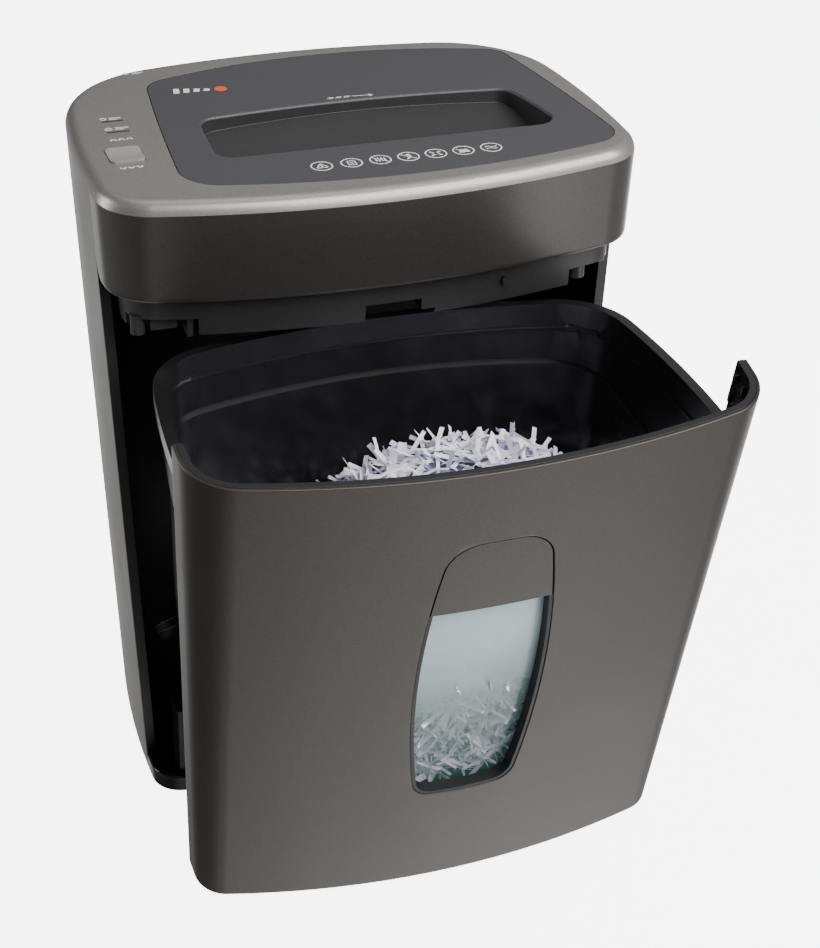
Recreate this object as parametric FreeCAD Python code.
import FreeCAD, Part
import math
import os

V = FreeCAD.Vector

# ---------------------------------------------------------------- driving dimensions (mm)
# Frame: X to the right seen from the front, Y towards the back, Z up, floor at Z = 0.
# The origin is under the middle of the cabinet's plan.
width = 380.0
depth = 275.0
height = 496.0
taper = 0.035                 # every wall leans in by this much per mm going down
widest_from_front = 90.0      # where the bowed sides are widest
side_bow = 754.0              # plan radii of the bowed sides, front and back
front_bow = 667.0
back_bow = 627.0
front_corner = 40.0
rear_corner = 89.0

wall = 2.6                    # moulded shell
fit_gap = 0.5                 # between shells that sit inside each other
seam_from_front = 71.4        # the front pieces end here, the cabinet's sides start
seam_gap = 0.6

cover_rim = ((9.0, 0.0), (6.0, 0.9), (3.2, 2.4), (1.4, 4.3), (0.4, 6.6), (0.0, 9.0))   # drop, inset
cover_deep = cover_rim[0][0]  # height of the top cover's rim band
cover_rim_wall = 6.0
cover_plate = 3.0
fascia_deep = 63.0
fascia_end_round = 16.0

foot_high = 3.0
foot_r = 9.0
foot_from_front, foot_from_back = 38.4, 50.8   # behind the bowed wall
floor_thick = 3.0
sill_top = 15.0

# throat panel, let into the top cover: margins from the cabinet's widest outline
panel_left = 58.0
panel_left_rear = 73.0
panel_right = 13.0
panel_right_rear = 35.0
panel_front = 21.0
panel_back = 20.5
panel_gap = 0.4
panel_plate = 3.0
recess_width = 245.0
recess_depth = 79.0
recess_from_front = 80.0
recess_shift = 22.5           # the feed stands off centre, the controls take the left side
recess_wall_drop = 7.0        # at the back
recess_toe_drop = 27.0        # at the slot
slot_width = 226.0
slot_gap = 7.0
slot_from_front = 92.0
chute_wall = 2.4

# cutter block
roller_spacing = 34.0
roller_r = 19.0
spacer_r = 14.6
disc_pitch = 8.0
disc_thick = 3.8
axis_below_top = 69.0
shaft_r = 6.0
run_gap = 0.05                # radial running clearance of every shaft
plate_thick = 3.2
plate_room = 10.0             # from the last disc to the side plate
bush_r = 9.0
bush_flange_r = 12.0
bush_flange = 1.5
rod_r = 4.0
groove_wide = 3.0
groove_deep = 2.6
grooves = 4

# gears: teeth, module
sync_teeth = 17
drum_teeth, drum_module = 32, 1.5
idler_small_teeth = 12
idler_big_teeth, motor_module = 48, 1.0
pinion_teeth = 12
gear_face = 9.0
idler_pin_r = 3.0
idler_rise = 35.0             # degrees, rear roller to idler, above the horizontal

motor_r = 29.0
motor_long = 112.0
motor_shaft_r = 2.5
motor_wall = 2.5
armature_r = 18.5
armature_slots = 12
fan_r = 24.0

# casing under the head
casing_wall = 2.5
casing_inset = 11.5
casing_floor_drop = 98.0       # all of these are measured down from the top
casing_step_drop = 72.0
casing_block_drop = 102.0
raised_floor_drop = 89.5

# controls
rocker_size = 23.4
rocker_from_left = 31.5
rocker_from_front = 102.0
rocker_gap_x = 0.4
rocker_gap_y = 1.0
rocker_pin_r = 1.5
light_long, light_wide = 15.0, 1.6
light_from_left = 35.5
ready_from_front, overheat_from_front = 164.0, 144.0
board_drop = 34.0
board_thick = 1.6

power_from_left, power_drop = 105.0, 41.0
power_wide, power_tall = 27.0, 21.0
cord_from_right, cord_drop = 128.0, 44.0
cord_bush_r = 9.0

# bin, drawn closed and then turned to its open place
open_angle = 10.27
track_axis_before = 4.8        # ahead of the cabinet's front
track_axis_z = -769.0
panel_top_gap = 2.0           # under the fascia
panel_bottom = 27.6
panel_thick = 2.5
band_thick = 4.5
band_deep = 30.0
end_flange = 3.4
tub_wall = 2.5
tub_gap = 0.7
tub_bottom = 30.0
tub_side = 13.0
tub_step = 3.0
tub_back = 21.0
tub_step_low_share, tub_step_high_share = 0.4147, 0.72275   # of the panel's top height
tub_over_pegs = 46.0
rim_wide = 5.0
rim_thick = 4.0
rim_skirt = 13.0
rim_drop = 51.1               # from the panel's top to the rim, over the frame's origin
rim_fall = 0.15               # the rim falls this much per mm towards the back

rail_outer_from_side = 36.5
rail_thick = 11.0
rail_web = 2.0
rail_lip = 3.0
peg_r = 5.0
peg_gap = 0.3
peg_rear_from_back = 60.5
peg_front_from_back = 82.0
peg_rear_z = 38.0

# window and pull grip, one outline
window_x = 4.0
window_bottom_share = 0.29265   # of the panel's top height
window_top_drop = 60.0
window_half_low, window_half_high = 35.0, 33.0
window_side_bulge = 11.3
window_bottom_bulge, window_top_bulge = 2.5, 1.5
window_low_round, window_high_round = 16.0, 24.0
grip_tall = 58.0
grip_gap = 0.8
grip_thick = 3.0
bezel_wall = 2.4
lens_recess = 9.0
lens_thick = 2.0
lens_lap = 2.2
pocket_deep = 27.0
pocket_wall = 2.0

screw_head_r, screw_head = 3.6, 2.2

# ---------------------------------------------------------------- worked out from them
half_w = width / 2
half_d = depth / 2
widest_y = -half_d + widest_from_front
seam_y = -half_d + seam_from_front
shell_top = height - cover_deep
fascia_bottom = shell_top - fascia_deep
floor_z = foot_high
floor_top = floor_z + floor_thick
slot_y = -half_d + slot_from_front
recess_front_y = -half_d + recess_from_front
axis_z = height - axis_below_top
casing_floor_z = height - casing_floor_drop
casing_step_z = height - casing_step_drop
casing_block_z = height - casing_block_drop
raised_floor = height - raised_floor_drop
rocker_x = -half_w + rocker_from_left
rocker_y = -half_d + rocker_from_front
light_x = -half_w + light_from_left
ready_y = -half_d + ready_from_front
overheat_y = -half_d + overheat_from_front
board_z = height - board_drop
power_x, power_z = -half_w + power_from_left, height - power_drop
cord_x, cord_z = half_w - cord_from_right, height - cord_drop
track_axis_y = -half_d - track_axis_before
panel_top = fascia_bottom - panel_top_gap
rim_mid_z = panel_top - rim_drop
tub_step_low = panel_top * tub_step_low_share
tub_step_high = panel_top * tub_step_high_share
peg_rear_y = half_d - peg_rear_from_back
peg_front_y = half_d - peg_front_from_back
window_top = panel_top - window_top_drop
window_bottom = panel_top * window_bottom_share
grip_bottom = window_top - grip_tall
front_y = slot_y - roller_spacing / 2
rear_y = slot_y + roller_spacing / 2
sync_module = roller_spacing / sync_teeth
discs = int(slot_width // disc_pitch)
front_strip = front_y - roller_r - 4.5   # the casing's floor is stepped in front of this
stack_left = recess_shift - discs * disc_pitch / 2
stack_right = recess_shift + discs * disc_pitch / 2
plate_left = stack_left - plate_room
plate_right = stack_right + plate_room
rail_outer = half_w - rail_outer_from_side
rail_inner = rail_outer - rail_thick
far = 600.0                   # longer than the object


# ---------------------------------------------------------------- helpers
def box(x0, x1, y0, y1, z0, z1):
    return Part.makeBox(x1 - x0, y1 - y0, z1 - z0, V(x0, y0, z0))


def rod_x(r, x0, x1, y, z):
    return Part.makeCylinder(r, x1 - x0, V(x0, y, z), V(1, 0, 0))


def post(r, x, y, z0, z1):
    return Part.makeCylinder(r, z1 - z0, V(x, y, z0))


def joined(shapes):
    first = shapes[0]
    return first.fuse(shapes[1:]) if len(shapes) > 1 else first


def mirrored(shape):
    return shape.mirror(V(0, 0, 0), V(1, 0, 0))


def sag(bow, x):
    """How far a wall bowed at that radius has curved in at x from the middle."""
    return bow - math.sqrt(bow ** 2 - x ** 2)


def meet(c0, r0, c1, r1, want_y):
    """The crossing of two circles on the left, nearer the front (-1) or the back (+1)."""
    gap = c1 - c0
    d = gap.Length
    along = (d * d + r0 * r0 - r1 * r1) / (2 * d)
    off = math.sqrt(r0 * r0 - along * along)
    u = gap / d
    n = V(-u.y, u.x, 0)
    found = [c0 + u * along + n * off, c0 + u * along - n * off]
    return max(found, key=lambda p: want_y * p.y - p.x)


def arc_about(centre, start, end):
    r = (start - centre).Length
    middle = (start + end) / 2 - centre
    return Part.Arc(start, centre + middle / middle.Length * r, end).toShape()


def plan(z, side=0.0, front=None, back=None, r_front=None, r_rear=None):
    """The cabinet's plan outline at height z, with each wall moved in by its own amount."""
    front = side if front is None else front
    back = side if back is None else back
    lean = taper * (height - z)
    rf = front_corner - lean - max(side, front) if r_front is None else r_front
    rr = rear_corner - lean - side if r_rear is None else r_rear
    big_s, big_f, big_b = side_bow - lean - side, front_bow - lean - front, back_bow - lean - back
    cs = V(-half_w + side_bow, widest_y, 0)
    cf = V(0, -half_d + front_bow, 0)
    cb = V(0, half_d - back_bow, 0)
    kf = meet(cs, big_s - rf, cf, big_f - rf, -1)
    kb = meet(cs, big_s - rr, cb, big_b - rr, 1)

    def touch(centre, corner, r):
        return centre + (corner - centre) / (corner - centre).Length * r

    side_front, front_left = touch(cs, kf, big_s), touch(cf, kf, big_f)
    side_rear, back_left = touch(cs, kb, big_s), touch(cb, kb, big_b)

    def other(p):
        return V(-p.x, p.y, 0)

    edges = [
        arc_about(cs, side_rear, side_front),
        arc_about(kf, side_front, front_left),
        arc_about(cf, front_left, other(front_left)),
        arc_about(other(kf), other(front_left), other(side_front)),
        arc_about(other(cs), other(side_front), other(side_rear)),
        arc_about(other(kb), other(side_rear), other(back_left)),
        arc_about(cb, other(back_left), back_left),
        arc_about(kb, back_left, side_rear),
    ]
    wire = Part.Wire(edges)
    wire.translate(V(0, 0, z))
    return wire


def block(levels, **walls):
    """A solid through plan outlines. Each level is (z, extra inset)."""
    side = walls.pop("side", 0.0)
    front = walls.pop("front", side)
    back = walls.pop("back", side)
    wires = [plan(z, side + more, front + more, back + more, **walls) for z, more in levels]
    return Part.makeLoft(wires, True, True)


def prism_z(wire, z0, z1):
    face = Part.Face(wire)
    face.translate(V(0, 0, z0))
    return face.extrude(V(0, 0, z1 - z0))


def pillow(corners, bulges, grow=0.0):
    """A flat face with four bowed sides through four corners, grown outwards by grow."""
    edges = []
    for i, a in enumerate(corners):
        b = corners[(i + 1) % 4]
        run = b - a
        out = V(run.y, -run.x, 0) / run.Length
        middle = (a + b) / 2 + out * bulges[i]
        flat = abs(bulges[i]) < 1e-6
        edges.append(Part.LineSegment(a, b).toShape() if flat else Part.Arc(a, middle, b).toShape())
    face = Part.Face(Part.Wire(edges))
    return face.makeOffset2D(grow, join=2) if grow else face


def rounded(solid, radii, direction=V(0, 0, 1)):
    """Round the four long edges of a prism; radii follow the corners, found by nearness."""
    for corner, r in radii:
        best = None
        for edge in solid.Edges:
            a, b = edge.Vertexes[0].Point, edge.Vertexes[-1].Point
            run = b - a
            if run.Length < 1e-6 or abs(abs(run.dot(direction)) / run.Length - 1) > 1e-4:
                continue
            flat = corner - (a + b) / 2
            flat = flat - direction * flat.dot(direction)
            if best is None or flat.Length < best[0]:
                best = (flat.Length, edge)
        solid = solid.makeFillet(r, [best[1]])
    return solid


def gear(teeth, module, x0, x1, y, z, tooth_at):
    """A spur gear about X. One tooth points at the angle tooth_at (degrees from +Y to +Z)."""
    pressure = math.radians(20)
    slack = 0.88
    pitch_r = teeth * module / 2
    base_r = pitch_r * math.cos(pressure)
    tip_r = pitch_r + 0.8 * module
    root_r = pitch_r - 1.15 * module

    def involute(r):
        a = math.acos(min(1.0, base_r / r))
        return math.tan(a) - a

    def half_angle(r):
        return math.pi / (2 * teeth) * slack + involute(pitch_r) - involute(max(r, base_r))

    radii = [root_r, max(base_r, root_r + 0.1 * module), pitch_r, (pitch_r + tip_r) / 2, tip_r]
    points = []
    for i in range(teeth):
        middle = math.radians(tooth_at) + 2 * math.pi * i / teeth
        flank = [(middle - half_angle(r), r) for r in radii]
        flank += [(middle + half_angle(r), r) for r in reversed(radii)]
        points += [V(x0, y + r * math.cos(a), z + r * math.sin(a)) for a, r in flank]
    return Part.Face(Part.makePolygon(points + points[:1])).extrude(V(x1 - x0, 0, 0))


def angle_to(y0, z0, y1, z1):
    return math.degrees(math.atan2(z1 - z0, y1 - y0))


parts = {}


# ---------------------------------------------------------------- cabinet
def front_of(y, z0=-10.0, z1=far):
    return box(-far, far, -far, y, z0, z1)


def wall_point(x, z, inset=0.0):
    """Where the back wall's outer face is, and how far it is turned about Z there."""
    lean = taper * (height - z)
    r = back_bow - lean - inset
    y = half_d - back_bow + math.sqrt(r * r - x * x)
    return y, -math.degrees(math.asin(x / r))


def on_back_wall(shape, x, z):
    """Move a shape from the origin (outwards is +Y) onto the back wall."""
    y, turn = wall_point(x, z)
    placed = shape.copy()
    placed.rotate(V(0, 0, 0), V(1, 0, 0), -math.degrees(math.atan(taper)))
    placed.rotate(V(0, 0, 0), V(0, 0, 1), turn)
    placed.translate(V(x, y, z))
    return placed


def make_cabinet():
    bottom = foot_high / 2
    outer = block([(bottom, 0), (shell_top, 0)])
    inner = block([(bottom - 1, 0), (shell_top + 1, 0)], side=wall)
    shell = outer.cut(inner).cut(front_of(seam_y))
    # turned-in edges stiffen the opening
    lip_inner = block([(bottom, 0), (fascia_bottom, 0)], side=wall + 5.0)
    lip = block([(bottom, 0), (fascia_bottom, 0)]).cut(lip_inner)
    lip = lip.common(box(-far, far, seam_y, seam_y + 2.0, floor_top + 12, fascia_bottom - 8))
    shell = shell.fuse(lip)
    hole = box(-power_wide / 2, power_wide / 2, -20, 20, -power_tall / 2, power_tall / 2)
    shell = shell.cut(on_back_wall(hole, power_x, power_z))
    gland = Part.makeCylinder(cord_bush_r - 1.5, 40, V(0, -20, 0), V(0, 1, 0))
    parts["cabinet_shell"] = shell.cut(on_back_wall(gland, cord_x, cord_z))

    tray = block([(floor_z, 0), (sill_top, 0)], side=wall + fit_gap)
    sill = block([(floor_z - 1.5, 0), (sill_top - 1.0, 0), (sill_top, 0.8)])
    sill = sill.common(front_of(seam_y - seam_gap))
    hollow = block([(floor_top, 0), (sill_top + 1, 0)], side=wall + fit_gap + wall)
    step = block([(floor_z - 2, 0), (floor_z, 0)], side=wall + fit_gap + wall)
    parts["base_tray"] = tray.fuse(sill).cut(hollow).cut(step)

    feet = []
    front_x, rear_x = half_w - 56, half_w - 72
    front_foot_y = -half_d + foot_from_front + sag(front_bow, front_x)
    rear_foot_y = half_d - foot_from_back - sag(back_bow, rear_x)
    for x in (-1, 1):
        feet.append(post(foot_r, x * front_x, front_foot_y, 0, foot_high))
        feet.append(post(foot_r, x * rear_x, rear_foot_y, 0, foot_high))
    feet.append(post(foot_r, 0, 0, 0, foot_high))   # keeps the floor from sagging under a full bin
    parts["rubber_feet"] = Part.makeCompound(feet)


# ---------------------------------------------------------------- bin track
def about_track(y, z):
    return math.hypot(y - track_axis_y, z - track_axis_z)


peg_path = about_track(peg_rear_y, peg_rear_z)
peg_front_z = track_axis_z + math.sqrt(peg_path ** 2 - (peg_front_y - track_axis_y) ** 2)


def turned(shape, angle=open_angle):
    moved = shape.copy()
    moved.rotate(V(0, track_axis_y, track_axis_z), V(1, 0, 0), angle)
    return moved


def arc_band(r0, r1, y0, y1, x0, x1):
    """A strip between two radii about the track's axis, from y0 to y1 along the middle."""
    middle = (r0 + r1) / 2
    centre = V(x0, track_axis_y, track_axis_z)

    def ray(y):
        s = (y - track_axis_y) / middle
        return V(0, s, math.sqrt(1 - s * s))

    def arc(r, ya, yb):
        return Part.Arc(centre + ray(ya) * r, centre + ray((ya + yb) / 2) * r, centre + ray(yb) * r).toShape()

    a, b = arc(r0, y0, y1), arc(r1, y1, y0)
    ends = [
        Part.LineSegment(centre + ray(y1) * r0, centre + ray(y1) * r1).toShape(),
        Part.LineSegment(centre + ray(y0) * r1, centre + ray(y0) * r0).toShape(),
    ]
    return Part.Face(Part.Wire([a, ends[0], b, ends[1]])).extrude(V(x1 - x0, 0, 0))


def open_place(y, z):
    """Where a point of the closed bin goes when the bin is open."""
    moved = FreeCAD.Rotation(V(1, 0, 0), open_angle).multVec(V(0, y - track_axis_y, z - track_axis_z))
    return moved.y + track_axis_y, moved.z + track_axis_z


def make_rails():
    slot_r = peg_r + peg_gap
    y_open, z_open = open_place(peg_front_y, peg_front_z)
    y0, y1 = y_open - peg_gap, peg_rear_y + peg_gap
    end0 = slot_r + rail_lip
    body = box(rail_inner, rail_outer, y0 - end0, y1 + end0, floor_top, far)
    body = body.common(rod_x(peg_path + end0, rail_inner, rail_outer, track_axis_y, track_axis_z))
    slot_x = rail_outer - rail_web
    slot = arc_band(peg_path - slot_r, peg_path + slot_r, y0, y1, rail_inner - 1, slot_x)

    def end_round(y):
        z = track_axis_z + math.sqrt(peg_path ** 2 - (y - track_axis_y) ** 2)
        return rod_x(slot_r, rail_inner - 1, slot_x, y, z)

    body = body.cut(joined([slot, end_round(y0), end_round(y1)]))
    inside = block([(floor_top - 1, 0), (floor_top + 120, 0)], side=2 * wall + 2 * fit_gap)
    body = body.common(inside)
    parts["right_guide_rail"] = body
    parts["left_guide_rail"] = mirrored(body)


# ---------------------------------------------------------------- bin
def window_corners():
    return [
        V(window_x - window_half_low, window_bottom, 0),
        V(window_x + window_half_low, window_bottom, 0),
        V(window_x + window_half_high, window_top, 0),
        V(window_x - window_half_high, window_top, 0),
    ]


def window_prism(grow=0.0, z0=0.0, z1=far):
    """The window's outline as a bar along Y, cut to a height range."""
    bulges = [window_bottom_bulge, window_side_bulge, window_top_bulge, window_side_bulge]
    solid = pillow(window_corners(), bulges, grow).extrude(V(0, 0, far))
    rounds = [window_low_round, window_low_round, window_high_round, window_high_round]
    solid = rounded(solid, [(c, max(1.0, r + grow)) for c, r in zip(window_corners(), rounds)])
    solid.rotate(V(0, 0, 0), V(1, 0, 0), 90)
    return solid.common(box(-far, far, -far, 0, z0, z1))


def front_slab(near, far_in, z0, z1):
    """The curved, leaning layer of the front wall between two insets."""
    slab = block([(z0, 0), (z1, 0)], side=near).cut(block([(z0 - 1, 0), (z1 + 1, 0)], side=far_in))
    return slab.common(front_of(seam_y - seam_gap))


def below_rim(drop=0.0):
    points = []
    for y, z in ((-far, None), (far, None), (far, -far), (-far, -far)):
        points.append(V(-far, y, rim_mid_z - rim_fall * y - drop if z is None else z))
    return Part.Face(Part.makePolygon(points + points[:1])).extrude(V(2 * far, 0, 0))


def tub_levels():
    """(bottom, top, side inset) of each storey of the tub, from the floor up."""
    rail_top = peg_front_z + tub_over_pegs
    low = half_w - taper * (height - rail_top) - (rail_inner - 1.0)
    return [
        (tub_bottom, rail_top, low, 26.0),
        (rail_top, tub_step_low, tub_side + 2 * tub_step, 34.0),
        (tub_step_low, tub_step_high, tub_side + tub_step, 40.0),
        (tub_step_high, panel_top, tub_side, 46.0),
    ]


def tub_body(inward):
    storeys = []
    for z0, z1, side, corner in tub_levels():
        lift = inward if inward else 0.0
        storeys.append(block(
            [(z0 + lift, 0), (z1 + lift, 0)],
            side=side + inward, front=panel_thick + tub_gap + inward, back=tub_back + side - tub_side + inward,
            r_front=15.0 - inward, r_rear=corner - inward))
    return joined(storeys)


def make_bin():
    closed = {}
    opening = window_prism()
    skin_levels = [(panel_bottom, 1.2), (panel_bottom + 1.2, 0.2), (panel_bottom + 3, 0),
                   (panel_top - 1.0, 0), (panel_top, 0.5)]
    skin = block(skin_levels).cut(block([(0, 0), (far, 0)], side=panel_thick))
    skin = skin.common(front_of(seam_y - seam_gap))
    closed["bin_front_panel"] = skin.cut(opening)

    # black inner frame: a top band, a flange down each end and catch hooks
    frame_out = panel_thick
    frame_in = panel_thick + band_thick
    band = front_slab(frame_out, frame_in, panel_top - band_deep, panel_top)
    ends = front_slab(frame_out, frame_out + end_flange, panel_bottom + 40, panel_top)
    ends = ends.common(box(-far, far, seam_y - 12, far, 0, far))
    hooks = []
    for z in (panel_top - 9.0, panel_top - 24.0):
        for y in (seam_y - 6.0, seam_y - 18.0):
            x = half_w - taper * (height - z) - frame_in
            hooks.append(box(x - 3.2, x + 3.0, y - 1.2, y + 1.2, z - 5.0, z + 2.0))
    hooks = joined(hooks).common(block([(0, 0), (far, 0)], side=panel_thick))
    closed["bin_front_frame"] = joined([band, ends, hooks, mirrored(hooks)]).common(
        front_of(seam_y - seam_gap))

    grip = front_slab(0.3, 0.3 + grip_thick, grip_bottom, window_top + 10)
    grip = grip.common(window_prism(-grip_gap))
    grip_root = front_slab(panel_thick + 0.1, panel_thick + tub_gap + tub_wall, window_top - 22, window_top + 12)
    grip_root = grip_root.common(box(window_x - 22, window_x + 22, -far, 0, 0, far))
    grip_root = grip_root.common(window_prism(-bezel_wall - 0.3))
    closed["pull_grip"] = grip.fuse(grip_root)

    bezel = front_slab(0.6, lens_recess, window_bottom - 8, window_top + 8)
    bezel = bezel.common(window_prism(-0.3)).cut(window_prism(-0.3 - bezel_wall))
    keep = box(-far, far, -far, 0, 0, grip_bottom)
    behind_grip = front_slab(0.3 + grip_thick + 0.4, lens_recess, grip_bottom - 1, window_top + 8)
    closed["window_bezel"] = bezel.common(keep).fuse(bezel.common(behind_grip))

    lens = front_slab(lens_recess, lens_recess + lens_thick, window_bottom - 8, grip_bottom - 4)
    closed["window_lens"] = lens.common(window_prism(lens_lap))

    cup_low = grip_bottom - 4
    cup = front_slab(lens_recess, pocket_deep + pocket_wall, cup_low, window_top + 8)
    cup = cup.common(window_prism(lens_lap))
    hollow = front_slab(lens_recess - 1, pocket_deep, cup_low + pocket_wall, window_top + 8)
    closed["grip_pocket"] = cup.cut(hollow.common(window_prism(-bezel_wall)))

    rim = block([(tub_bottom, 0), (panel_top, 0)], side=tub_side - rim_wide,
                front=panel_thick + band_thick + tub_gap, back=tub_back - rim_wide,
                r_front=20.0, r_rear=52.0)
    rim_in = block([(tub_bottom, 0), (panel_top, 0)], side=tub_side - rim_wide + 2.0,
                   front=panel_thick + band_thick + tub_gap + 2.0, back=tub_back - rim_wide + 2.0,
                   r_front=18.0, r_rear=50.0)
    flange = rim.common(below_rim()).cut(below_rim(rim_thick))
    skirt = rim.cut(rim_in).common(below_rim(1.0)).cut(below_rim(rim_skirt))
    outside = tub_body(0.0).common(below_rim())
    inside = tub_body(tub_wall)
    tub = joined([outside, flange, skirt]).cut(inside)
    closed["bin_tub"] = tub.cut(window_prism(0.2)).cut(cup.common(outside))
    closed["bin_tub"] = closed["bin_tub"].cut(closed["window_lens"])

    pegs = []
    for y, z in ((peg_rear_y, peg_rear_z), (peg_front_y, peg_front_z)):
        pegs.append(rod_x(peg_r, rail_inner - 30, rail_outer - rail_web - 0.6, y, z).cut(outside))
    pegs += [mirrored(p) for p in pegs]
    closed["glide_pegs"] = Part.makeCompound([max(p.Solids, key=lambda s: s.Volume) for p in pegs])

    screws = []
    for x in (-half_w + 64, half_w - 64):
        for z in (tub_step_low + 40, tub_step_high + 30):
            lean = taper * (height - z)
            y = -half_d + front_bow - math.sqrt((front_bow - lean) ** 2 - x * x)
            y += panel_thick + tub_gap + tub_wall
            head = Part.makeCylinder(screw_head_r, screw_head, V(x, y, z), V(0, 1, 0))
            screws.append(head.cut(outside.cut(inside)))
    closed["panel_screws"] = Part.makeCompound([max(s.Solids, key=lambda s: s.Volume) for s in screws])

    for name, shape in closed.items():
        parts[name] = turned(shape)


# ---------------------------------------------------------------- head covers
def throat_face(grow=0.0):
    left, right = -half_w + panel_left, half_w - panel_right
    left_rear, right_rear = -half_w + panel_left_rear, half_w - panel_right_rear
    bow_front, bow_back = 22.0, 25.5
    y_front, y_back = -half_d + panel_front + bow_front, half_d - panel_back - bow_back
    corners = [V(left, y_front, 0), V(right, y_front, 0), V(right_rear, y_back, 0), V(left_rear, y_back, 0)]
    return corners, pillow(corners, [bow_front, 2.5, bow_back, 1.7], grow)


def throat_prism(grow, z0, z1):
    corners, face = throat_face(grow)
    solid = face.extrude(V(0, 0, z1 - z0))
    rounds = [30.0, 25.0, 18.0, 22.0]
    solid = rounded(solid, [(c, r + grow) for c, r in zip(corners, rounds)])
    solid.translate(V(0, 0, z0))
    return solid


def recess_prism(grow, z0, z1):
    left, right = recess_shift - recess_width / 2, recess_shift + recess_width / 2
    back = recess_front_y + recess_depth - 8.0
    corners = [V(left, recess_front_y, 0), V(right, recess_front_y, 0), V(right - 13, back, 0), V(left + 4, back, 0)]
    solid = pillow(corners, [0, 1.5, 8.0, 1.0], grow).extrude(V(0, 0, z1 - z0))
    solid = rounded(solid, [(c, r + grow) for c, r in zip(corners, (13.0, 15.0, 14.0, 13.0))])
    solid.translate(V(0, 0, z0))
    return solid


def recess_floor(drop, thick=0.0):
    """The space above the recess's sloping floor, or above its underside."""
    back = recess_front_y + recess_depth
    front = slot_y + slot_gap / 2
    points = [
        V(-far, back + 5, height - recess_wall_drop - drop),
        V(-far, front, height - recess_toe_drop - drop),
        V(-far, recess_front_y - 5 - thick, height - recess_toe_drop - drop),
        V(-far, recess_front_y - 5 - thick, height + 20),
        V(-far, back + 5, height + 20),
    ]
    return Part.Face(Part.makePolygon(points + points[:1])).extrude(V(2 * far, 0, 0))


def make_covers():
    cover = block([(height - drop, inset) for drop, inset in cover_rim])
    hollow = block([(shell_top - 1, 0), (height - cover_plate, 0)], side=cover_rim_wall)
    cover = cover.cut(hollow)
    ledge = throat_prism(-2.5, height - cover_plate - 3, height + 1)
    seat = throat_prism(panel_gap, height - panel_plate, height + 1)
    under = throat_prism(3.0, height - cover_plate - 3, height - panel_plate)
    cover = cover.fuse(under).cut(ledge).cut(seat)
    half_x, half_y = rocker_size / 2 + rocker_gap_x, rocker_size / 2 + rocker_gap_y
    cut = box(rocker_x - half_x, rocker_x + half_x, rocker_y - half_y, rocker_y + half_y, shell_top, height + 1)
    corners = [V(rocker_x + i * half_x, rocker_y + j * half_y, 0) for i, j in ((-1, -1), (1, -1), (1, 1), (-1, 1))]
    cover = cover.cut(rounded(cut, [(c, 4.0) for c in corners]))
    pin_z = height - 7.0
    lugs = []
    for i in (-1, 1):
        inner = rocker_x + i * half_x
        x0, x1 = sorted((inner, inner + i * 3.0))
        lugs.append(box(x0, x1, rocker_y - 4, rocker_y + 4, pin_z - 4, height - cover_plate))
    cover = joined([cover] + lugs)
    pin = rod_x(rocker_pin_r, rocker_x - half_x - 3, rocker_x + half_x + 3, rocker_y, pin_z)
    cover = cover.cut(pin)
    for y in (ready_y, overheat_y):
        cover = cover.cut(light(y, 0.1))
    parts["top_cover"] = cover
    parts["rocker_pin"] = pin

    # rocker: dished top, bored for its pin
    h = rocker_size / 2
    key = box(rocker_x - h, rocker_x + h, rocker_y - h, rocker_y + h, pin_z - 3.5, height + 1.6)
    corners = [V(rocker_x + i * h, rocker_y + j * h, 0) for i, j in ((-1, -1), (1, -1), (1, 1), (-1, 1))]
    key = rounded(key, [(c, 3.6) for c in corners])
    dish_r = 60.0
    key = key.cut(rod_x(dish_r, rocker_x - 20, rocker_x + 20, rocker_y, height + 1.6 + dish_r - 1.2))
    skirt_cut = box(rocker_x - h - 1, rocker_x + h + 1, rocker_y + 5.5, rocker_y + h + 1, pin_z - 4, pin_z + 2)
    key = key.cut(skirt_cut).cut(skirt_cut.mirror(V(0, rocker_y, 0), V(0, 1, 0)))
    parts["control_rocker"] = key.cut(
        rod_x(rocker_pin_r + run_gap, rocker_x - 20, rocker_x + 20, rocker_y, pin_z))

    # throat panel with its sloping recess and the chute below the slot
    plate = throat_prism(0, height - panel_plate, height)
    pan = recess_prism(2.2, height - recess_toe_drop - 2.2, height)
    pan = pan.common(recess_floor(2.2, 3.0))
    chute_half = slot_width / 2
    chute_low = axis_z + roller_r + 4.0
    chute = box(recess_shift - chute_half - chute_wall, recess_shift + chute_half + chute_wall,
                slot_y - slot_gap / 2 - chute_wall, slot_y + slot_gap / 2 + chute_wall,
                chute_low, height - recess_toe_drop)
    slot = box(recess_shift - chute_half, recess_shift + chute_half,
               slot_y - slot_gap / 2, slot_y + slot_gap / 2, chute_low - 1, height)
    hollow = recess_prism(0, height - recess_toe_drop, height + 1).common(recess_floor(0.0))
    parts["throat_panel"] = joined([plate, pan, chute]).cut(hollow).cut(slot)

    # front fascia, its lower ends rounded where they meet the cabinet
    band = block([(fascia_bottom, 2.2), (fascia_bottom + 0.7, 0.9), (fascia_bottom + 2.2, 0.1),
                  (fascia_bottom + 4.0, 0), (shell_top, 0)])
    band = band.cut(block([(fascia_bottom - 1, 0), (shell_top + 1, 0)], side=wall))
    band = band.common(front_of(seam_y - 0.3))
    r = fascia_end_round
    y1 = seam_y - 0.3
    corner = box(-far, far, y1 - r, y1 + 1, fascia_bottom - 1, fascia_bottom + r)
    corner = corner.cut(rod_x(r, -far, far, y1 - r, fascia_bottom + r))
    parts["front_fascia"] = band.cut(corner)


def light(y, grow=0.0):
    return box(light_x - light_long / 2 - grow, light_x + light_long / 2 + grow,
               y - light_wide / 2 - grow, y + light_wide / 2 + grow, board_z + board_thick + 2.5, height + 0.2)


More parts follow.
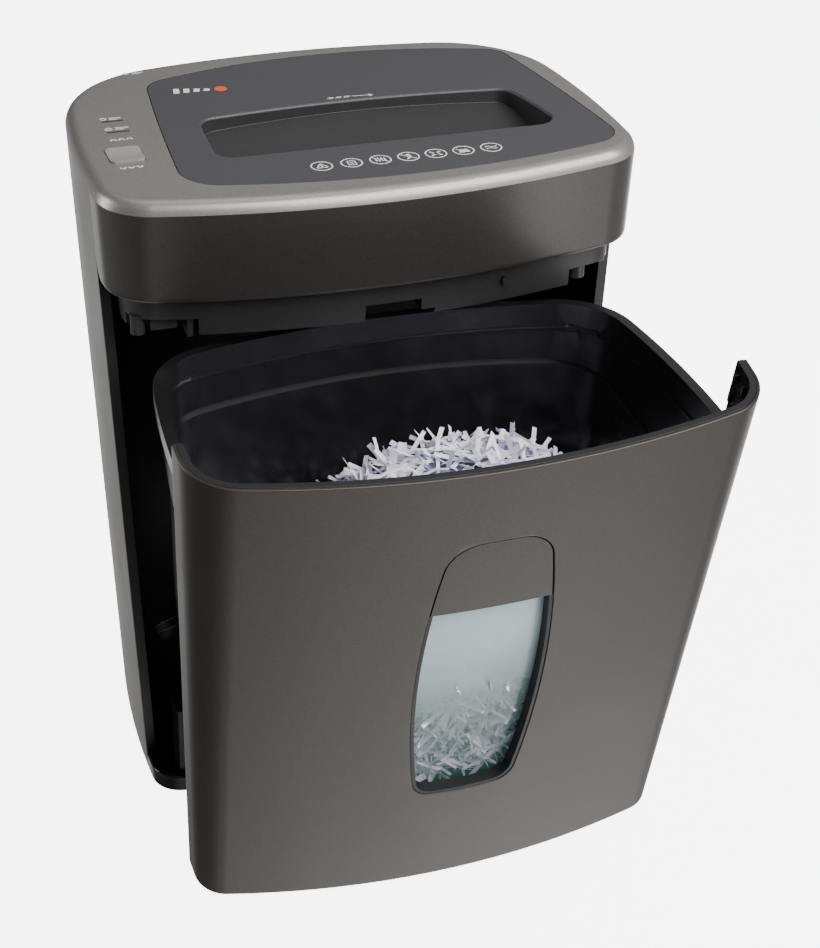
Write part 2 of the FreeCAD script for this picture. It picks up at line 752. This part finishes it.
# ---------------------------------------------------------------- casing under the head
def make_casing():
    inset_up = wall + fit_gap
    upper = block([(casing_step_z, 0), (shell_top - 0.4, 0)], side=inset_up)
    lower = block([(casing_floor_z, 0), (casing_step_z, 0)], side=casing_inset)
    left_edge, right_edge = stack_left - 40.0, stack_right + 2.0
    notch = (recess_shift - 40.0, recess_shift)
    raised = [(-far, left_edge), (right_edge, far), notch]
    inner_up = block([(casing_step_z + casing_wall, 0), (shell_top + 1, 0)], side=inset_up + casing_wall)
    inner_low = block([(casing_floor_z + casing_wall, 0), (casing_step_z + casing_wall, 0)],
                      side=casing_inset + casing_wall)
    z = raised_floor
    for x0, x1 in raised:
        lower = lower.cut(box(x0, x1, -far, front_strip, casing_floor_z - 1, z))
        inner_low = inner_low.cut(
            box(x0 - casing_wall, x1 + casing_wall, -far, front_strip + casing_wall,
                casing_floor_z - 1, z + casing_wall))
    casing = upper.fuse(lower).cut(inner_up).cut(inner_low)
    chin = block([(casing_block_z, 1.0), (casing_floor_z, 0)], side=casing_inset)
    for x0, x1 in ((left_edge, notch[0]), (notch[1] + 10.0, right_edge)):
        casing = casing.fuse(chin.common(box(x0, x1, -far, front_strip, 0, far)))
    post_y = -half_d + 44.0
    post_top = raised_floor + 1.5
    pegs = [
        post(5.0, left_edge - 38.0, post_y, casing_block_z, post_top),
        box(left_edge - 30.5, left_edge - 12.5, post_y - 6, post_y + 4, casing_block_z + 3.0, post_top),
        box(left_edge - 7, left_edge - 3, post_y - 12, post_y, casing_block_z - 2.0, post_top),
        post(6.0, stack_right + 12, post_y - 4, casing_block_z + 2.0, post_top + 1.0),
    ]
    casing = joined([casing] + pegs)
    outlet = box(stack_left - 1.0, stack_right + 1.0, front_y - roller_r - 2.0, rear_y + roller_r + 2.0,
                 casing_floor_z - 5, casing_step_z)
    casing = casing.cut(outlet)
    hole = box(-power_wide / 2 - 1, power_wide / 2 + 1, -60, 20, -power_tall / 2 - 1, power_tall / 2 + 1)
    casing = casing.cut(on_back_wall(hole, power_x, power_z))
    gland = Part.makeCylinder(cord_bush_r + 1, 60, V(0, -40, 0), V(0, 1, 0))
    parts["head_casing"] = casing.cut(on_back_wall(gland, cord_x, cord_z))


# ---------------------------------------------------------------- cutter block
drum_r = drum_teeth * drum_module / 2
idler_y = rear_y + (drum_r + idler_small_teeth * drum_module / 2) * math.cos(math.radians(idler_rise))
idler_z = axis_z + (drum_r + idler_small_teeth * drum_module / 2) * math.sin(math.radians(idler_rise))
motor_z = axis_z + 8.0
motor_gap = (idler_big_teeth + pinion_teeth) * motor_module / 2
motor_y = idler_y + math.sqrt(motor_gap ** 2 - (idler_z - motor_z) ** 2)
gear_x = plate_left - plate_thick - 2.0 - gear_face   # drum gear and small idler gear start here
big_x = gear_x - 2.0 - gear_face               # big idler gear and pinion
sync_x = plate_right + plate_thick + 2.5


def make_plates():
    y0, y1 = front_y - roller_r - 9.0, motor_y + motor_r + 4.0
    rods = [(front_y - 23.5, axis_z + 16), (front_y - 23.5, axis_z - 14),
            (rear_y + 22.5, axis_z - 18), (rear_y + 22.5, axis_z + 25)]
    z0, z1 = casing_floor_z + casing_wall, axis_z + 31.0
    front_foot, strip_y = raised_floor + casing_wall, front_strip + casing_wall
    for name, x in (("left_side_plate", plate_left - plate_thick), ("right_side_plate", plate_right)):
        plate = box(x, x + plate_thick, y0, y1, front_foot, z1)
        plate = plate.fuse(box(x, x + plate_thick, strip_y, y1, z0, front_foot))
        for y in (front_y, rear_y):
            plate = plate.cut(rod_x(bush_r, x - 1, x + plate_thick + 1, y, axis_z))
        if name == "left_side_plate":
            plate = plate.cut(rod_x(motor_shaft_r + 3, x - 1, x + plate_thick + 1, motor_y, motor_z))
            plate = plate.cut(rod_x(idler_pin_r, x - 1, x + plate_thick + 1, idler_y, idler_z))
        parts[name] = plate
    parts["tie_rods"] = Part.makeCompound([rod_x(rod_r, plate_left, plate_right, y, z) for y, z in rods])

    bushes = []
    for x, way in ((plate_left, -1), (plate_right, 1)):
        for y in (front_y, rear_y):
            inside = x if way > 0 else x - plate_thick
            body = rod_x(bush_r, inside, inside + plate_thick, y, axis_z)
            collar = rod_x(bush_flange_r, x, x + bush_flange, y, axis_z) if way < 0 else \
                rod_x(bush_flange_r, x - bush_flange, x, y, axis_z)
            bore = rod_x(shaft_r + run_gap, x - 20, x + 20, y, axis_z)
            bushes.append(body.fuse(collar).cut(bore))
    parts["roller_bushes"] = Part.makeCompound(bushes)
    parts["idler_pin"] = rod_x(idler_pin_r, big_x - 2.0, plate_left, idler_y, idler_z)


def roller(y, shift, x_left, x_right, hand):
    """A cutter roller turned from one bar: discs, spacers between them and two journals."""
    profile = [(x_left, 0), (x_left, shaft_r), (stack_left, shaft_r)]
    for i in range(discs):
        middle = stack_left + disc_pitch * (i + 0.5) + shift
        a, b = middle - disc_thick / 2, middle + disc_thick / 2
        profile += [(a, spacer_r), (a, roller_r), (b, roller_r), (b, spacer_r)]
    profile.insert(3, (stack_left, spacer_r))
    profile += [(stack_right, spacer_r), (stack_right, shaft_r), (x_right, shaft_r), (x_right, 0)]
    points = [V(x, y, axis_z + r) for x, r in profile]
    turned_bar = Part.Face(Part.makePolygon(points + points[:1])).revolve(V(0, y, axis_z), V(1, 0, 0), 360)
    cutters = []
    for i in range(grooves):
        flute = box(stack_left - 1, stack_right + 1, y - groove_wide / 2, y + groove_wide / 2,
                    axis_z + roller_r - groove_deep, axis_z + roller_r + 2)
        flute.rotate(V(0, y, axis_z), V(1, 0, 0), 360.0 * i / grooves + hand * 20)
        cutters.append(flute)
    return turned_bar.cut(cutters)


def make_rollers():
    shift = disc_pitch / 4
    left_end = big_x + gear_face + 0.5
    right_end = sync_x + gear_face + 1.0
    parts["front_cutter_roller"] = roller(front_y, -shift, plate_left - plate_thick - 1, right_end, 1)
    parts["rear_cutter_roller"] = roller(rear_y, shift, left_end, right_end, -1)

    def wheel(teeth, module, x, y, tooth_at, bore_r):
        blank = gear(teeth, module, x, x + gear_face, y, axis_z, tooth_at)
        return blank.cut(rod_x(bore_r, x - 1, x + gear_face + 1, y, axis_z))

    parts["front_sync_gear"] = wheel(sync_teeth, sync_module, sync_x, front_y, 0.0, shaft_r)
    parts["rear_sync_gear"] = wheel(sync_teeth, sync_module, sync_x, rear_y, 180 + 180.0 / sync_teeth, shaft_r)
    to_idler = angle_to(rear_y, axis_z, idler_y, idler_z)
    parts["drum_gear"] = wheel(drum_teeth, drum_module, gear_x, rear_y, to_idler, shaft_r)

    small = gear(idler_small_teeth, drum_module, gear_x - 2.0, gear_x + gear_face, idler_y, idler_z,
                 to_idler + 180 + 180.0 / idler_small_teeth)
    to_motor = angle_to(idler_y, idler_z, motor_y, motor_z)
    big = gear(idler_big_teeth, motor_module, big_x, big_x + gear_face, idler_y, idler_z, to_motor)
    bore = rod_x(idler_pin_r + run_gap, big_x - 1, plate_left, idler_y, idler_z)
    parts["idler_gear"] = big.fuse(small).cut(bore)
    pinion = gear(pinion_teeth, motor_module, big_x, big_x + gear_face, motor_y, motor_z,
                  to_motor + 180 + 180.0 / pinion_teeth)
    parts["motor_pinion"] = pinion.cut(rod_x(motor_shaft_r, big_x - 1, big_x + gear_face + 1, motor_y, motor_z))

    # stripper combs: a bar behind each roller with one finger over every spacer
    for name, y, shift_x, way in (("front_strippers", front_y, -shift, -1), ("rear_strippers", rear_y, shift, 1)):
        bar_y = sorted((y + way * (roller_r + 1.2), y + way * (roller_r + 4.6)))
        comb = box(plate_left + bush_flange + 0.3, plate_right - bush_flange - 0.3, bar_y[0], bar_y[1],
                   axis_z - 9.0, axis_z + 9.0)
        fingers = []
        finger = disc_pitch - disc_thick - 0.8
        for i in range(discs - 1):
            x = stack_left + disc_pitch * (i + 1) + shift_x
            ys = sorted((y + way * 12.0, y + way * (roller_r + 2.0)))
            fingers.append(box(x - finger / 2, x + finger / 2, ys[0], ys[1], axis_z - 7.0, axis_z + 7.0))
        comb = joined([comb] + fingers)
        parts[name] = comb.cut(rod_x(spacer_r + 0.5, plate_left, plate_right, y, axis_z))


def make_motor():
    x0 = plate_left + 1.5
    x1 = x0 + motor_long
    can = rod_x(motor_r, x0 + 6, x1, motor_y, motor_z)
    can = can.makeChamfer(2.0, [can.Edges[0], can.Edges[2]])
    nose = rod_x(11.0, x0, x0 + 8, motor_y, motor_z)
    bore = rod_x(motor_shaft_r + run_gap, x0 - 1, x1 + 1, motor_y, motor_z)
    can = can.fuse(nose).cut(bore)
    # the can is open inside; its field magnets line the middle of it
    can = can.cut(rod_x(motor_r - motor_wall, x0 + 8.5, x1 - motor_wall, motor_y, motor_z))
    field = rod_x(motor_r - motor_wall, x0 + 26, x1 - 20, motor_y, motor_z)
    parts["motor_body"] = can.fuse(field.cut(rod_x(armature_r + 0.8, x0, x1, motor_y, motor_z)))
    core = rod_x(armature_r, x0 + 28, x1 - 22, motor_y, motor_z)
    core = core.cut(rod_x(motor_shaft_r, x0, x1, motor_y, motor_z))
    slots = []
    for i in range(armature_slots):
        slot = box(x0, x1, motor_y - 0.9, motor_y + 0.9, motor_z + armature_r - 4.5, motor_z + motor_r)
        slot.rotate(V(0, motor_y, motor_z), V(1, 0, 0), 360.0 * i / armature_slots)
        slots.append(slot)
    parts["motor_armature"] = core.cut(slots)
    parts["motor_shaft"] = rod_x(motor_shaft_r, big_x - 0.5, x1 + 15, motor_y, motor_z)
    hub = rod_x(6.0, x1 + 3, x1 + 13, motor_y, motor_z)
    blades = []
    for i in range(8):
        blade = box(x1 + 4, x1 + 12, motor_y - 0.9, motor_y + 0.9, motor_z + 5, motor_z + fan_r)
        blade.rotate(V(0, motor_y, motor_z), V(1, 0, 0), 45.0 * i)
        blades.append(blade)
    fan = joined([hub] + blades).cut(rod_x(motor_shaft_r, x1, x1 + 20, motor_y, motor_z))
    parts["motor_fan"] = fan
    cradle = box(x0 + 20, x1 - 20, motor_y - 24, motor_y + 24, casing_floor_z + casing_wall, motor_z - 8)
    cradle = cradle.cut(rod_x(motor_r, x0, x1, motor_y, motor_z))
    parts["motor_cradle"] = cradle.cut(box(-far, far, rear_y + 20, rear_y + 30, 0, axis_z))
    ears = []
    for y, z in ((motor_y + 9.0, motor_z + 18.0), (motor_y + 9.0, motor_z - 18.0)):
        x = plate_left - plate_thick
        head = rod_x(screw_head_r, x - screw_head, x, y, z)
        ears.append(head)
    parts["motor_screws"] = Part.makeCompound(ears)


# ---------------------------------------------------------------- electrics
def make_electrics():
    x0, x1 = -half_w + 14.0, big_x - 5.0
    board = box(x0, x1, rocker_y - 32, ready_y + 16, board_z, board_z + board_thick)
    stands = [post(3.0, x, y, casing_step_z + casing_wall, board_z)
              for x in (x0 + 6, x1 - 6) for y in (rocker_y - 26, ready_y + 10)]
    parts["control_board"] = joined([board] + stands)
    top = board_z + board_thick
    bits = [
        box(x0 + 4, x0 + 20, rocker_y + 16, rocker_y + 32, top, top + 12),
        post(5.0, x1 - 9, ready_y + 9, top, top + 14),
        box(rocker_x - 3, rocker_x + 3, rocker_y - 10.5, rocker_y - 6.5, top, height - 5.8),
        box(rocker_x - 3, rocker_x + 3, rocker_y + 6.5, rocker_y + 10.5, top, height - 5.8),
    ]
    bits += [post(1.2, light_x, y, top, top + 2.2) for y in (ready_y, overheat_y)]
    parts["board_components"] = Part.makeCompound(bits)
    parts["ready_light"] = light(ready_y)
    parts["overheat_light"] = light(overheat_y)

    # power switch: a housing through the back wall with a rocker in it
    w, t = power_wide / 2, power_tall / 2
    flange = box(-w - 2.5, w + 2.5, 0.3, 2.3, -t - 2.5, t + 2.5)
    body = box(-w + 0.2, w - 0.2, -16, 1.0, -t + 0.2, t - 0.2)
    well = box(-w + 2.5, w - 2.5, -9.5, 3, -t + 2.5, t - 2.5)
    tabs = joined([box(x - 3, x + 3, -25, -15.5, -0.4, 0.4) for x in (-7, 0, 7)])
    pivot = Part.makeCylinder(1.2, power_wide - 3, V(-w + 1.5, -1.5, 0), V(1, 0, 0))
    housing = joined([flange, body, tabs]).cut(well).fuse(pivot)
    parts["power_switch_housing"] = on_back_wall(housing, power_x, power_z)
    tilt = 6.0
    rocker = box(-w + 3.1, w - 3.1, -4.5, 3.6, -t + 3.6, t - 3.6)
    valley = Part.makeCylinder(30, power_wide, V(-w, 3.6 + 30 - 1.4, 0), V(1, 0, 0))
    rocker = rocker.cut(valley).cut(Part.makeCylinder(1.2 + run_gap, power_wide, V(-w, -1.5, 0), V(1, 0, 0)))
    rocker.rotate(V(0, -1.5, 0), V(1, 0, 0), tilt)
    parts["power_rocker"] = on_back_wall(rocker, power_x, power_z)

    bush = Part.makeCylinder(cord_bush_r - 1.5, 12, V(0, -8, 0), V(0, 1, 0))
    collar = Part.makeCylinder(cord_bush_r + 1.5, 2.5, V(0, 0.2, 0), V(0, 1, 0))
    nut = Part.makeCylinder(cord_bush_r + 0.6, 3.0, V(0, -wall - 3.4, 0), V(0, 1, 0))
    bush = joined([bush, collar, nut])
    bush = bush.cut(Part.makeCylinder(3.4, 14, V(0, -5, 0), V(0, 1, 0)))
    parts["cord_bush"] = on_back_wall(bush, cord_x, cord_z)

    # interlock: a switch at the casing's front and a sprung plunger that the bin meets
    ix = stack_right - 50.0
    iz = (casing_step_z + panel_top - band_deep) / 2 + 3.0
    front_face = -half_d + front_bow - math.sqrt((front_bow - taper * (height - iz)) ** 2 - ix * ix)
    tip_y = front_face + panel_thick + band_thick + 0.8
    wall_y = front_face + casing_inset
    r = 3.0
    plunger = Part.makeCylinder(r, 16, V(ix, tip_y, iz), V(0, 1, 0))
    collar = Part.makeCylinder(r + 1.6, 1.5, V(ix, wall_y + casing_wall + 1.3, iz), V(0, 1, 0))
    parts["interlock_plunger"] = plunger.fuse(collar)
    bore = Part.makeCylinder(r + run_gap, 40, V(ix, tip_y - 5, iz), V(0, 1, 0))
    parts["head_casing"] = parts["head_casing"].cut(bore)
    y0 = wall_y + casing_wall + 1.6
    switch = box(ix - 10, ix + 10, y0 + 1.6, y0 + 14, iz - 8, iz + 7)
    room = Part.makeCylinder(r + 2.0, 7.2, V(ix, y0, iz), V(0, 1, 0))
    parts["interlock_switch"] = switch.cut(room).cut(
        Part.makeCylinder(r + run_gap, 12, V(ix, y0, iz), V(0, 1, 0)))


# ---------------------------------------------------------------- fasteners
def make_fasteners():
    spots = [(-half_w + 46, 60.0), (half_w - 46, 60.0), (-half_w + 62, -half_d + 66), (half_w - 20, -half_d + 90)]
    heads = [Part.makeCylinder(screw_head_r, screw_head, V(x, y, casing_floor_z - screw_head)) for x, y in spots]
    parts["casing_screws"] = Part.makeCompound(heads)
    base = []
    for x, y in ((-half_w + 40, 20.0), (half_w - 40, 20.0)):
        base.append(Part.makeCylinder(screw_head_r, screw_head, V(x, y, floor_z - screw_head)))
    parts["base_screws"] = Part.makeCompound(base)


def main():
    make_cabinet()
    make_rails()
    make_bin()
    make_covers()
    make_casing()
    make_plates()
    make_rollers()
    make_motor()
    make_electrics()
    make_fasteners()
    os.makedirs("parts", exist_ok=True)
    for name, shape in parts.items():
        shape.exportStep("parts/" + name + ".step")
        solids = len(shape.Solids)
        print(f"{name:24s} solids {solids} volume {shape.Volume / 1000:9.2f} cm3 valid {shape.isValid()}")


main()
